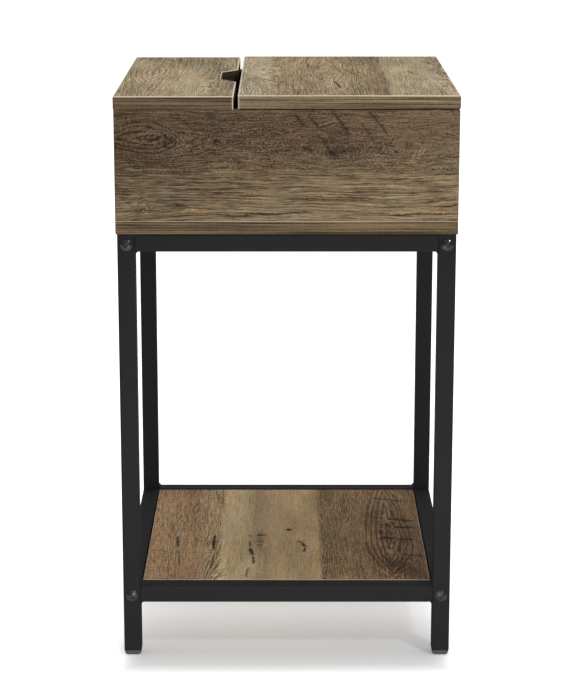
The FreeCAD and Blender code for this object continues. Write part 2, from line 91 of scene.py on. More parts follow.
# Sockets of the mix node: its factor and two inputs, for numbers and for colours, and the mixed colour
MIX_NUMBERS = (0, 2, 3)
MIX_COLOURS = (0, 6, 7)
MIX_COLOUR_OUT = 2

# Roughness of the noise, where a call doesn't give another
NOISE_ROUGHNESS = 0.55


def linear(*colour, alpha=1.0):
    """A display colour, 0 to 255 a channel, as linear light."""
    shares = [c / 255 for c in colour]
    return tuple(c / 12.92 if c <= 0.04045 else ((c + 0.055) / 1.055) ** 2.4 for c in shares) + (alpha,)


def toned(colour, gain):
    """A display colour made darker or lighter, as linear light."""
    return linear(*[min(255, c * gain) for c in colour])


class Graph:
    """The node tree of a material or a world, with short calls for the nodes that are used here."""

    def __init__(self, owner):
        owner.use_nodes = True
        self.owner = owner
        self.tree = owner.node_tree
        self.shader = next(n for n in self.tree.nodes if n.type in ("BSDF_PRINCIPLED", "BACKGROUND"))

    def feed(self, socket, value):
        """Link a socket to another one, or set its number or colour."""
        if isinstance(value, bpy.types.NodeSocket):
            self.tree.links.new(value, socket)
        else:
            socket.default_value = value

    def fill(self, made, keys, values):
        """Feed the sockets of a node that the keys name."""
        for key, value in zip(keys, values):
            self.feed(made.inputs[key], value)
        return made

    def node(self, kind, *values, **settings):
        """A new node with its settings, its first sockets fed with the values."""
        made = self.tree.nodes.new(kind)
        for key, setting in settings.items():
            setattr(made, key, setting)
        return self.fill(made, range(len(values)), values)

    def math(self, operation, *values):
        return self.node("ShaderNodeMath", *values, operation=operation).outputs[0]

    def add(self, *values):
        total = values[0]
        for value in values[1:]:
            total = self.math("ADD", total, value)
        return total

    def less(self, a, b):
        return self.math("SUBTRACT", a, b)

    def times(self, a, b):
        return self.math("MULTIPLY", a, b)

    def vector_math(self, operation, a, b):
        made = self.node("ShaderNodeVectorMath", a, b, operation=operation)
        return made.outputs["Value" if operation == "DOT_PRODUCT" else "Vector"]

    def choose(self, factor, a, b):
        """A number between a and b, at a where the factor is 0."""
        made = self.node("ShaderNodeMix", data_type="FLOAT")
        return self.fill(made, MIX_NUMBERS, (factor, a, b)).outputs[0]

    def mix(self, factor, a, b, blend="MIX"):
        """A colour between a and b, at a where the factor is 0."""
        made = self.node("ShaderNodeMix", data_type="RGBA", blend_type=blend)
        return self.fill(made, MIX_COLOURS, (factor, a, b)).outputs[MIX_COLOUR_OUT]

    def spread(self, value, low, high, to_low=0.0, to_high=1.0, shape="LINEAR"):
        """A value brought from one range to another, and held at its ends."""
        bounds = (low, high, to_low, to_high)
        return self.node("ShaderNodeMapRange", value, *bounds, interpolation_type=shape).outputs[0]

    def step(self, *values):
        """The same with soft ends."""
        return self.spread(*values, shape="SMOOTHSTEP")

    def ramp(self, factor, stops):
        """The colour and the alpha of a ramp through the stops."""
        made = self.node("ShaderNodeValToRGB", factor)
        elements = made.color_ramp.elements
        while len(elements) < len(stops):
            elements.new(1.0)
        for element, (place, colour) in zip(elements, stops):
            element.position = place
            element.color = colour
        return made.outputs

    def vector(self, x, y, z):
        return self.node("ShaderNodeCombineXYZ", x, y, z).outputs[0]

    def split(self, vector):
        return list(self.node("ShaderNodeSeparateXYZ", vector).outputs)

    def place(self):
        return self.node("ShaderNodeTexCoord").outputs["Object"]

    def noise(self, vector, scale, detail, roughness=NOISE_ROUGHNESS):
        keys = ("Vector", "Scale", "Detail", "Roughness")
        made = self.node("ShaderNodeTexNoise")
        return self.fill(made, keys, (vector, scale, detail, roughness)).outputs[0]

    def set(self, **values):
        """Feed the shader's sockets, named with _ for a space."""
        for key, value in values.items():
            self.feed(self.shader.inputs[key.replace("_", " ")], value)

    def bump(self, height, strength, distance):
        keys = ("Height", "Strength", "Distance")
        made = self.fill(self.node("ShaderNodeBump"), keys, (height, strength, distance))
        self.set(Normal=made.outputs[0])


def new_material(name):
    return Graph(bpy.data.materials.new(name))


# Oak laminate. A look holds the tones of a board's print, the colour of its edge band, how strong the painted
# highlight on its upper edges is, and the figures in the print, in metres along and across the grain, placed
# after the photo. Stretch and cloud are how much longer and cloudier than usual its grain is, and slot_side
# is the side in X on which the board borders the slot, or 0.
# A tone is a display colour at a share of the way across the board, with the contrast of the grain there and
# its run, from short flecks at 0 to long lines at 1.
# A knot is an almond of growth lines that the grain runs round, shorter on the side that it leans to.
# A hill tones a place, stirs the fibre there and, where it has a push, bends the growth lines into arches.
# A mark is a dark line between two places, or a light one where its depth is below zero.
Look = namedtuple("Look", "seed tones band hills knots marks stretch cloud slot_side edge",
                  defaults=((), (), 1.0, 1.0, 0, 0.0))
Tone = namedtuple("Tone", "place red green blue contrast run", defaults=(1.0, 0.5))
Knot = namedtuple("Knot", "along across half_along half_across rings depth lean", defaults=(0.0,))
Hill = namedtuple("Hill", "along across reach_along reach_across tone stir push", defaults=(0.0, 0.0))
Mark = namedtuple("Mark", "start end width depth")

# For each way that a face looks, the axis that its grain runs along and the axis across it
LEVEL_GRAIN = {X: (Y, Z), Y: (X, Z), Z: (Y, X)}
FRONT_GRAIN = {X: (Z, Y), Y: (X, Z), Z: (X, Y)}
SIDE_GRAIN = {X: (Y, Z), Y: (Z, X), Z: (Y, X)}

# The grain of each upright board and the way that its printed face looks. The other boards lie flat.
UPRIGHTS = {
    "front_panel": (FRONT_GRAIN, Y),
    "rear_panel": (FRONT_GRAIN, Y),
    "left_panel": (SIDE_GRAIN, X),
    "right_panel": (SIDE_GRAIN, X),
}
FLAT = (LEVEL_GRAIN, Z)

# The normal's share along an axis from which a face counts as looking that way
FACE_SHARE = 0.6
FRONT_SHARE = 0.7

# A layer of the print is noise with a length along the grain and a width across it. Its shift keeps it apart
# from the other layers.
Layer = namedtuple("Layer", "length width shift detail")
DRIFT = Layer(0.25, 0.06, 0.0, 2.0)
WOBBLE = Layer(0.05, 0.016, 1.3, 2.0)
EDDIES = Layer(0.010, 0.006, 9.0, 1.0)
STREAKS = Layer(0.16, 0.0015, 27.0, 3.0)
LINES = Layer(0.050, 0.0013, 3.1, 3.0)
DASHES = Layer(0.012, 0.0010, 7.7, 2.0)
FLECKS = Layer(0.0030, 0.0009, 17.0, 2.0)
SPECKS = Layer(0.0012, 0.0008, 23.0, 1.0)
PORES = Layer(0.010, 0.0010, 11.3, 1.0)
PATCHES = Layer(0.07, 0.022, 5.0, 3.0)
CLOUDS = Layer(0.14, 0.045, 19.0, 2.0)
TINTS = Layer(0.05, 0.03, 15.0, 2.0)
BAND_LINES = Layer(0.16, 0.0018, 13.0, 3.0)
LAYER_ROUGHNESS = 0.6
NOISE_MIDDLE = 0.5

# How far the grain strays across the board, in metres
DRIFT_PUSH = 0.018
WOBBLE_PUSH = 0.005
SPOT_PUSH = 0.010
EDDY_PUSH = 0.012

# How strong each layer is in the shade of the print. A pair of gains is for a run of 0 and of 1, and the pore
# levels are where a pore begins and where it is full.
SHADE_CENTRE = 0.5
STREAK_GAIN = 2.2
LINE_GAINS = (0.85, 1.7)
DASH_GAIN = 1.5
FLECK_GAINS = (2.2, 0.7)
SPECK_GAINS = (1.8, 0.4)
PORE_LEVELS = (0.08, 0.22)
PORE_GAIN = -0.18
PATCH_GAIN = 0.35
CLOUD_GAIN = 0.7
ARCH_WIDTH = 0.0036
ARCH_WOBBLE = 0.002
ARCH_GAIN = 0.14
BAND_LINE_GAIN = 2.6
BAND_DASH_GAIN = 0.5
BAND_FLECK_GAIN = 0.6

# Knots: the push on the grain round them and how it fades, their rim and heart as ring numbers, how much
# their growth lines stray, the part of a wave that is dark, the heart's share of the depth, and how much
# weaker the fibre is inside
KNOT_FLOW = 0.7
KNOT_FADE = -0.7
KNOT_RIM = (1.05, 0.8)
KNOT_HEART = (0.25, 0.0)
RING_WOBBLE = 9.0
RING_LINE = (0.1, 1.0)
HEART_DEPTH = 0.15
KNOT_CALM = 0.4

# Colour by shade, and a warm and a cool tint
GRAIN_GAINS = [
    (0.0, (0.20, 0.185, 0.17, 1.0)),
    (0.28, (0.57, 0.55, 0.53, 1.0)),
    (0.50, (1.0, 1.0, 1.0, 1.0)),
    (0.72, (1.42, 1.42, 1.40, 1.0)),
    (1.0, (2.1, 2.1, 2.04, 1.0)),
]
TINT_GAINS = [(0.3, (1.07, 0.98, 0.91, 1.0)), (0.7, (0.95, 1.01, 1.02, 1.0))]

# Marks: how ragged they are, in metres, the level of the dashes at which they break, their half length and
# the part of it at full width as shares of the length, and their soft sides as a share of the width
# The dark colour below serves the print's dark marks and also the painted shade on eased edges
MARK_AND_SHADE_DARK = linear(30, 24, 19)
LIGHT_MARK = linear(186, 162, 118)
RAGGED_ALONG = 0.012
RAGGED_ACROSS = 0.006
MARK_GAPS = (-0.28, -0.12)
MARK_HALF = 0.5
MARK_FULL = 0.25
MARK_SOFT = 0.3

# Eased edges: the upper ones get a painted highlight, weaker behind the front on the boards of the top, and
# the others, with the slanted walls, a painted shade. The strip along the slot gets the painted highlight
# too. The shares are those of the normal.
EDGE_HIGHLIGHT_COLOUR = linear(240, 231, 210)
EDGE_WIDTH = 0.0019
EDGE_FULL = 0.7
EDGE_FRONT = 0.016
EDGE_BEHIND = 0.7
EDGE_SHADE = 0.6
EASED_SHARES = (0.995, 0.96)
UPWARD_SHARES = (0.0, 0.15)
STRIP_SHARES = (0.7, 0.4)

# Sheen and relief of the print, which is smoother where its shade is light
OAK_SHINE = 0.14
OAK_SHADES = (0.2, 0.8)
OAK_ROUGHNESS = (0.68, 0.56)
DASH_HEIGHT = 0.5
LINE_HEIGHT = 0.6
SUNK_HEIGHT = 0.4
OAK_BUMP = (0.3, 0.0005)

Flow = namedtuple("Flow", "field spot tone arches inside knot_lines")
Grain = namedtuple("Grain", "lines streaks dashes flecks specks pores")


def shares_from(graph, spot, place, reach):
    """How far a spot is from a place, as shares of the reach along and across the grain."""
    away = graph.vector_math("SUBTRACT", spot, (*place, 0.0))
    return graph.vector_math("MULTIPLY", away, (1 / reach[0], 1 / reach[1], 0.0))


def hill_height(graph, spot, hill):
    """A round hill, 1 at its middle, that fades over its reach along and across the grain."""
    shares = shares_from(graph, spot, (hill.along, hill.across), (hill.reach_along, hill.reach_across))
    return graph.math("EXPONENT", graph.times(graph.vector_math("DOT_PRODUCT", shares, shares), -1.0))


def knot_parts(graph, spot, knot):
    """A knot's ring number, 0 at its middle and 1 at its rim, and its push on the grain round it."""
    shares = shares_from(graph, spot, (knot.along, knot.across), (knot.half_along, knot.half_across))
    along, across, _ = graph.split(shares)
    along = graph.add(along, graph.times(graph.math("ABSOLUTE", along), knot.lean))
    ring = graph.add(graph.math("ABSOLUTE", across), graph.times(along, along))
    fade = graph.math("EXPONENT", graph.times(graph.vector_math("DOT_PRODUCT", shares, shares), KNOT_FADE))
    return ring, graph.times(graph.times(across, fade), -KNOT_FLOW * knot.half_across)


def mark_mask(graph, spot, whole, mark):
    """A thin ragged line from start to end that tapers out at both ends and breaks where whole is 0."""
    run = Vector(mark.end) - Vector(mark.start)
    squared = run.length_squared
    away = graph.vector_math("SUBTRACT", spot, (*mark.start, 0.0))
    share = graph.vector_math("DOT_PRODUCT", away, (run.x / squared, run.y / squared, 0.0))
    aside = graph.vector_math("DOT_PRODUCT", away, (-run.y / run.length, run.x / run.length, 0.0))
    taper = graph.step(graph.math("ABSOLUTE", graph.less(share, MARK_HALF)), MARK_HALF, MARK_FULL)
    beyond = graph.less(graph.math("ABSOLUTE", aside), graph.times(taper, mark.width))
    inside = graph.step(beyond, mark.width * MARK_SOFT, -mark.width * MARK_SOFT)
    return graph.times(graph.times(taper, graph.times(whole, abs(mark.depth))), inside)


class Oak:
    """Printed oak on the faces of one board, and plain lined edge band round it."""

    def __init__(self, node, grain, face_axis, look):
        graph = new_material("oak_" + node)
        source = graph.node("ShaderNodeTexCoord")
        position = graph.split(source.outputs["Object"])
        looks_to = graph.split(source.outputs["Normal"])
        normal = [graph.math("ABSOLUTE", n) for n in looks_to]
        level = graph.math("GREATER_THAN", normal[Z], FACE_SHARE)
        facing = graph.math("GREATER_THAN", normal[Y], FRONT_SHARE)
        low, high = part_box(node)
        tone_axis = grain[face_axis][1]
        self.graph = graph
        self.look = look
        self.low = low
        self.high = high
        self.position = position
        self.looks_to = looks_to
        self.normal = normal
        self.on_face = graph.math("GREATER_THAN", normal[face_axis], FACE_SHARE)
        self.along, self.across = [
            graph.choose(level, graph.choose(facing, position[to_x], position[to_y]), position[to_z])
            for to_x, to_y, to_z in zip(grain[X], grain[Y], grain[Z])]
        self.share = graph.spread(position[tone_axis], low[tone_axis], high[tone_axis])

    def layer(self, layer, field):
        """One layer of the print, centred on 0, with its width laid across the field."""
        graph = self.graph
        along = graph.times(self.along, 1 / layer.length / self.look.stretch)
        across = graph.times(field, 1 / layer.width)
        place = graph.vector(along, across, self.look.seed + layer.shift)
        return graph.less(graph.noise(place, 1.0, layer.detail, LAYER_ROUGHNESS), NOISE_MIDDLE)

    def bend_grain(self):
        """Run the grain round the knots and over the hills, and gather what these do to the shade."""
        graph = self.graph
        wobble = self.layer(WOBBLE, self.across)
        drift = self.layer(DRIFT, self.across)
        field = graph.add(self.across, graph.times(drift, DRIFT_PUSH), graph.times(wobble, WOBBLE_PUSH))
        spot = graph.vector(self.along, graph.add(self.across, graph.times(wobble, SPOT_PUSH)), 0.0)
        tone, arches, stir, inside, knot_lines = 0.0, 0.0, 0.0, 0.0, 0.0
        for hill in self.look.hills:
            height = hill_height(graph, spot, hill)
            tone = graph.math("MULTIPLY_ADD", height, hill.tone, tone)
            if hill.push:
                field = graph.math("MULTIPLY_ADD", height, hill.push, field)
                arches = graph.add(height, arches)
            if hill.stir:
                stir = graph.math("MULTIPLY_ADD", height, hill.stir, stir)
        for knot in self.look.knots:
            ring, flow = knot_parts(graph, spot, knot)
            field = graph.add(field, flow)
            here = graph.step(ring, *KNOT_RIM)
            turns = graph.add(graph.times(ring, 2 * math.pi * knot.rings), graph.times(wobble, RING_WOBBLE))
            line = graph.times(here, graph.step(graph.math("SINE", turns), *RING_LINE))
            knot_lines = graph.math("MULTIPLY_ADD", line, -knot.depth, knot_lines)
            inside = graph.math("MAXIMUM", here, inside)
            tone = graph.math("MULTIPLY_ADD", graph.step(ring, *KNOT_HEART), -knot.depth * HEART_DEPTH, tone)
        eddies = graph.times(self.layer(EDDIES, self.across), EDDY_PUSH)
        return Flow(graph.add(field, graph.times(eddies, stir)), spot, tone, arches, inside, knot_lines)

    def lay_grain(self, field):
        """The fine layers that follow the grain."""
        fibres = [self.layer(kind, field) for kind in (LINES, STREAKS, DASHES, FLECKS, SPECKS)]
        return Grain(*fibres, self.graph.step(self.layer(PORES, field), *PORE_LEVELS))

    def face_shade(self, flow, grain, contrast):
        """The shade of the printed face: fibre, arches, pores and knots under patches and clouds."""
        graph = self.graph
        run = graph.ramp(self.share, [(t.place, (t.run, t.run, t.run, 1.0)) for t in self.look.tones])[0]
        fibre = graph.add(
            graph.times(grain.streaks, graph.times(run, STREAK_GAIN)),
            graph.times(grain.lines, graph.spread(run, 0.0, 1.0, *LINE_GAINS)),
            graph.times(grain.dashes, DASH_GAIN),
            graph.times(grain.flecks, graph.spread(run, 0.0, 1.0, *FLECK_GAINS)),
            graph.times(grain.specks, graph.spread(run, 0.0, 1.0, *SPECK_GAINS)))
        fibre = graph.times(fibre, graph.less(1.0, graph.times(flow.inside, KNOT_CALM)))
        strayed = graph.add(flow.field, graph.times(grain.lines, ARCH_WOBBLE))
        wave = graph.math("SINE", graph.times(strayed, 2 * math.pi / ARCH_WIDTH))
        arch = graph.times(graph.times(wave, ARCH_GAIN), flow.arches)
        drawn = graph.add(fibre, arch, graph.times(grain.pores, PORE_GAIN), flow.knot_lines)
        patches = graph.times(self.layer(PATCHES, self.across), PATCH_GAIN * self.look.cloud)
        clouds = graph.times(self.layer(CLOUDS, self.across), CLOUD_GAIN * self.look.cloud)
        return graph.add(SHADE_CENTRE, graph.times(drawn, contrast), patches, clouds, flow.tone)

    def band_shade(self, flow, grain):
        """The shade of the edge band: long lines with a little fibre."""
        graph = self.graph
        lines = graph.times(self.layer(BAND_LINES, self.across), BAND_LINE_GAIN)
        dashes = graph.times(grain.dashes, BAND_DASH_GAIN)
        return graph.add(SHADE_CENTRE, lines, dashes, graph.times(grain.flecks, BAND_FLECK_GAIN), flow.tone)

    def print_colour(self, middle, shade):
        """The print's colour from its middle tone and its shade, with the band's own middle tone."""
        graph = self.graph
        tint = graph.ramp(graph.add(self.layer(TINTS, self.across), NOISE_MIDDLE), TINT_GAINS)[0]
        middle = graph.mix(1.0, middle, tint, "MULTIPLY")
        middle = graph.mix(self.on_face, linear(*self.look.band), middle)
        return graph.mix(1.0, middle, graph.ramp(shade, GRAIN_GAINS)[0], "MULTIPLY")

    def mark_masks(self, flow, grain):
        """How far the dark marks and the light marks cover the print."""
        graph = self.graph
        along = graph.times(grain.dashes, RAGGED_ALONG)
        across = graph.times(grain.flecks, RAGGED_ACROSS)
        ragged = graph.vector_math("ADD", flow.spot, graph.vector(along, across, 0.0))
        whole = graph.step(grain.dashes, *MARK_GAPS)
        dark, light = 0.0, 0.0
        for mark in self.look.marks:
            mask = mark_mask(graph, ragged, whole, mark)
            if mark.depth > 0:
                dark = graph.math("MAXIMUM", mask, dark)
            else:
                light = graph.math("MAXIMUM", mask, light)
        return dark, light

    def slot_highlight_strip(self):
        """The painted highlight on the strip of the top along the slot: 1 there, and 0 on the slot's wall."""
        graph = self.graph
        slot = self.high.x if self.look.slot_side > 0 else self.low.x
        away = graph.math("ABSOLUTE", graph.less(self.position[X], slot))
        near = graph.step(away, EDGE_WIDTH, EDGE_WIDTH * EDGE_FULL)
        return graph.times(near, graph.step(self.normal[X], *STRIP_SHARES))

    def painted_edge_masks(self):
        """How far the painted highlight and the painted shade cover the board's eased edges."""
        graph = self.graph
        squarest = graph.math("MAXIMUM", self.normal[X], self.normal[Y])
        squarest = graph.math("MAXIMUM", squarest, self.normal[Z])
        eased = graph.step(squarest, *EASED_SHARES)
        pale = graph.times(eased, graph.step(self.looks_to[Z], *UPWARD_SHARES))
        dark = graph.less(eased, pale)
        if self.look.slot_side:
            ahead = graph.step(self.position[Y], self.low.y + EDGE_FRONT, self.low.y + EDGE_FRONT / 2)
            pale = graph.times(pale, graph.spread(ahead, 0.0, 1.0, EDGE_BEHIND, 1.0))
            strip = self.slot_highlight_strip()
            pale = graph.math("MAXIMUM", pale, strip)
            dark = graph.times(dark, graph.less(1.0, strip))
        return pale, dark

    def material(self):
        """The finished material of the board."""
        graph = self.graph
        flow = self.bend_grain()
        grain = self.lay_grain(flow.field)
        stops = [(t.place, linear(t.red, t.green, t.blue, alpha=t.contrast)) for t in self.look.tones]
        middle, contrast = graph.ramp(self.share, stops)
        face_shade = self.face_shade(flow, grain, contrast)
        shade = graph.choose(self.on_face, self.band_shade(flow, grain), face_shade)
        colour = self.print_colour(middle, shade)
        dark, light = self.mark_masks(flow, grain)
        colour = graph.mix(graph.times(light, self.on_face), colour, LIGHT_MARK)
        colour = graph.mix(graph.times(dark, self.on_face), colour, MARK_AND_SHADE_DARK)
        # Painted highlight on the upper eased edges and along the slot, and painted shade on the other eased
        # and slanted faces
        painted_edge_highlight, painted_edge_shade = self.painted_edge_masks()
        colour = graph.mix(graph.times(painted_edge_highlight, self.look.edge), colour, EDGE_HIGHLIGHT_COLOUR)
        colour = graph.mix(graph.times(painted_edge_shade, EDGE_SHADE), colour, MARK_AND_SHADE_DARK)
        roughness = graph.step(shade, *OAK_SHADES, *OAK_ROUGHNESS)
        graph.set(Base_Color=colour, Roughness=roughness, Specular_IOR_Level=OAK_SHINE)
        raised = graph.add(graph.times(grain.dashes, DASH_HEIGHT), graph.times(grain.lines, LINE_HEIGHT))
        graph.bump(graph.less(raised, graph.times(graph.add(grain.pores, dark), SUNK_HEIGHT)), *OAK_BUMP)
        return graph.owner


# Front: dark above with a knot on the left and saw marks on the right, and long pale lines below
FRONT_LOOK = Look(
    seed=2.0, band=(116, 97, 73),
    tones=[
        Tone(0.0, 129, 111, 87, 0.85, 1.0),
        Tone(0.42, 126, 108, 84, 0.85, 1.0),
        Tone(0.46, 114, 96, 75, 1.1, 0.4),
        Tone(0.75, 98, 80, 62, 1.15, 0.1),
        Tone(1.0, 101, 84, 65, 1.1, 0.4),
    ],
    knots=[
        Knot(-0.147, 0.6025, 0.046, 0.020, 4.0, 0.30, 0.35),
        Knot(-0.128, 0.598, 0.012, 0.008, 2.0, 0.12, 0.3),
        Knot(0.045, 0.588, 0.066, 0.017, 3.0, 0.08),
        Knot(0.138, 0.592, 0.026, 0.013, 3.0, 0.10),
    ],
    hills=[
        Hill(-0.160, 0.530, 0.016, 0.009, -0.02, 1.3),
        Hill(0.032, 0.607, 0.034, 0.016, -0.08, 0.8),
        Hill(0.023, 0.5915, 0.010, 0.0035, -0.08, 0.6),
        Hill(0.050, 0.587, 0.010, 0.006, -0.10, 0.9),
        Hill(0.078, 0.588, 0.014, 0.007, -0.07, 0.6),
        Hill(0.118, 0.598, 0.034, 0.012, -0.03, 0.8),
        Hill(-0.160, 0.576, 0.03, 0.006, -0.09),
        Hill(-0.08, 0.603, 0.03, 0.010, -0.08, 0.4),
        Hill(0.0, 0.617, 0.022, 0.006, 0.07, 0.4),
        Hill(0.150, 0.625, 0.04, 0.012, 0.08),
        # Painted light from the right: the front's right side lighter and its left side darker
        Hill(0.210, 0.575, 0.130, 0.120, 0.15),
        Hill(-0.200, 0.575, 0.100, 0.120, -0.11),
        Hill(-0.095, 0.594, 0.030, 0.016, -0.18, 0.3),
        Hill(-0.062, 0.577, 0.035, 0.018, -0.12),
        Hill(-0.030, 0.545, 0.050, 0.018, -0.08),
        Hill(-0.150, 0.540, 0.040, 0.015, -0.06),
        Hill(0.062, 0.520, 0.030, 0.011, -0.09),
        Hill(0.115, 0.520, 0.035, 0.010, -0.06),
    ],
    marks=[
        Mark((-0.093, 0.5168), (0.040, 0.5205), 0.0010, 0.8),
        Mark((0.100, 0.5187), (0.196, 0.5187), 0.0010, 0.75),
        Mark((-0.128, 0.5310), (-0.102, 0.5252), 0.0011, 0.6),
        Mark((-0.108, 0.5253), (-0.045, 0.5257), 0.0008, 0.4),
        Mark((0.050, 0.5618), (0.078, 0.5604), 0.0010, 0.7),
        Mark((0.093, 0.5585), (0.127, 0.5585), 0.0009, 0.5),
        Mark((0.070, 0.5459), (0.195, 0.5445), 0.0008, 0.5),
        Mark((0.094, 0.5419), (0.149, 0.5412), 0.0008, 0.5),
        Mark((0.148, 0.5320), (0.196, 0.5362), 0.0011, 0.6),
        Mark((0.164, 0.5250), (0.198, 0.5315), 0.0012, 0.7),
        Mark((0.007, 0.6325), (0.020, 0.6150), 0.0014, 0.65),
        Mark((0.022, 0.6315), (0.038, 0.6110), 0.0014, 0.75),
        Mark((0.045, 0.6410), (0.072, 0.6000), 0.0014, 0.75),
        Mark((0.055, 0.6285), (0.063, 0.6140), 0.0017, 0.5),
        Mark((0.085, 0.6390), (0.114, 0.6020), 0.0013, 0.6),
        Mark((0.099, 0.6220), (0.109, 0.6085), 0.0015, 0.5),
        Mark((0.078, 0.6230), (0.100, 0.5940), 0.0012, 0.5),
        Mark((0.036, 0.6080), (0.058, 0.5770), 0.0014, 0.7),
        Mark((0.045, 0.5920), (0.054, 0.5815), 0.0018, 0.8),
        Mark((0.015, 0.5937), (0.032, 0.5893), 0.0014, 0.8),
        Mark((0.029, 0.5900), (0.036, 0.5760), 0.0010, 0.3),
        Mark((0.142, 0.6071), (0.169, 0.6055), 0.0009, 0.5),
        Mark((0.164, 0.6059), (0.194, 0.6005), 0.0010, 0.55),
        Mark((0.148, 0.5757), (0.194, 0.5883), 0.0009, 0.4),
        Mark((0.100, 0.5765), (0.110, 0.5675), 0.0012, 0.45),
        Mark((-0.185, 0.5680), (-0.120, 0.5675), 0.0006, -0.45),
        Mark((-0.090, 0.5655), (-0.030, 0.5655), 0.0006, -0.5),
        Mark((-0.118, 0.5235), (-0.095, 0.5235), 0.0008, -0.6),
        Mark((-0.060, 0.5418), (-0.003, 0.5405), 0.0006, -0.4),
        Mark((0.135, 0.5735), (0.1425, 0.5920), 0.0010, -0.45),
        Mark((0.1425, 0.5785), (0.148, 0.5955), 0.0010, -0.5),
        Mark((0.147, 0.5835), (0.153, 0.5930), 0.0010, -0.4),
        Mark((-0.015, 0.5628), (0.065, 0.5610), 0.0008, 0.5),
        Mark((0.095, 0.5203), (0.198, 0.5203), 0.0008, -0.5),
        Mark((0.070, 0.5508), (0.150, 0.5498), 0.0007, -0.4),
        Mark((0.115, 0.5606), (0.196, 0.5570), 0.0007, -0.4),
        Mark((-0.150, 0.5470), (-0.040, 0.5455), 0.0008, 0.45),
        Mark((-0.020, 0.5370), (0.090, 0.5345), 0.0008, 0.5),
        Mark((0.028, 0.6160), (0.056, 0.6238), 0.0010, 0.65),
        Mark((0.030, 0.6130), (0.058, 0.6205), 0.0010, 0.55),
        Mark((0.029, 0.6146), (0.057, 0.6222), 0.0008, -0.35),
    ],
)

# The rear and the sides, which the photo doesn't show: a knot, a stirred place and two marks each
SIDE_BAND = (124, 104, 78)
SIDE_KNOT = (0.038, 0.017, 4.0, 0.2)
SIDE_HILL = (0.04, 0.02, -0.08, 0.6)
LONG_MARK = (0.0010, 0.7)
SHORT_MARK = (0.0009, 0.5)

REAR_LOOK = Look(
    seed=12.0, band=SIDE_BAND,
    tones=[Tone(0.0, 124, 104, 79), Tone(0.5, 116, 96, 73), Tone(1.0, 134, 114, 87)],
    knots=[Knot(0.09, 0.57, *SIDE_KNOT)],
    hills=[Hill(-0.08, 0.60, *SIDE_HILL)],
    marks=[Mark((-0.12, 0.535), (-0.02, 0.538), *LONG_MARK), Mark((0.02, 0.615), (0.08, 0.613), *SHORT_MARK)],
)
LEFT_LOOK = Look(
    seed=22.0, band=SIDE_BAND,
    tones=[Tone(0.0, 130, 110, 83), Tone(0.45, 118, 98, 74), Tone(1.0, 132, 112, 85)],
    knots=[Knot(-0.07, 0.60, *SIDE_KNOT)],
    hills=[Hill(0.09, 0.56, *SIDE_HILL)],
    marks=[Mark((0.0, 0.585), (0.10, 0.588), *LONG_MARK), Mark((-0.15, 0.530), (-0.08, 0.528), *SHORT_MARK)],
)
RIGHT_LOOK = Look(
    seed=32.0, band=SIDE_BAND,
    tones=[Tone(0.0, 134, 114, 87), Tone(0.5, 124, 104, 79), Tone(1.0, 112, 93, 71)],
    knots=[Knot(0.06, 0.55, *SIDE_KNOT)],
    hills=[Hill(-0.10, 0.60, *SIDE_HILL)],
    marks=[Mark((-0.14, 0.535), (-0.05, 0.538), *LONG_MARK), Mark((0.02, 0.612), (0.09, 0.614), *SHORT_MARK)],
)

# Tub floor: the photo shows only its front edge, with a dark place at the left end
TUB_FLOOR_LOOK = Look(
    seed=42.0, band=(104, 87, 65), stretch=1.3, edge=0.75,
    tones=[Tone(0.0, 130, 110, 84), Tone(0.5, 138, 118, 90), Tone(1.0, 130, 110, 84)],
    hills=[Hill(-0.168, 0.5075, 0.018, 0.003, -0.25)],
)

# Fixed board of the top: a large knot on the left and arches beside it
FIXED_TOP_LOOK = Look(
    seed=52.0, band=(106, 88, 66), stretch=1.3, cloud=0.9, slot_side=1, edge=0.75,
    tones=[
        Tone(0.0, 159, 143, 114, 0.9, 0.5),
        Tone(0.4, 159, 139, 111, 0.9, 0.5),
        Tone(0.75, 159, 144, 116, 0.9, 0.5),
        Tone(1.0, 151, 135, 108, 0.9, 0.5),
    ],
    knots=[Knot(0.045, -0.158, 0.15, 0.032, 5.0, 0.22, 0.2)],
    hills=[
        Hill(-0.12, -0.098, 0.13, 0.012, 0.06, 0.1, 0.03),
        Hill(0.17, -0.085, 0.06, 0.03, -0.16, 0.3),
        Hill(-0.13, -0.170, 0.10, 0.02, -0.04),
        Hill(-0.07, -0.068, 0.09, 0.012, -0.10, 0.2),
        Hill(0.05, -0.125, 0.05, 0.02, 0.06, 0.3),
        Hill(0.0, 0.641, 0.045, 0.05, 0.05),
        Hill(0.165, -0.146, 0.05, 0.03, -0.22),
        Hill(0.05, -0.086, 0.07, 0.014, -0.22),
        Hill(-0.03, -0.152, 0.08, 0.016, 0.14),
        Hill(0.11, -0.112, 0.04, 0.02, -0.08),
    ],
)

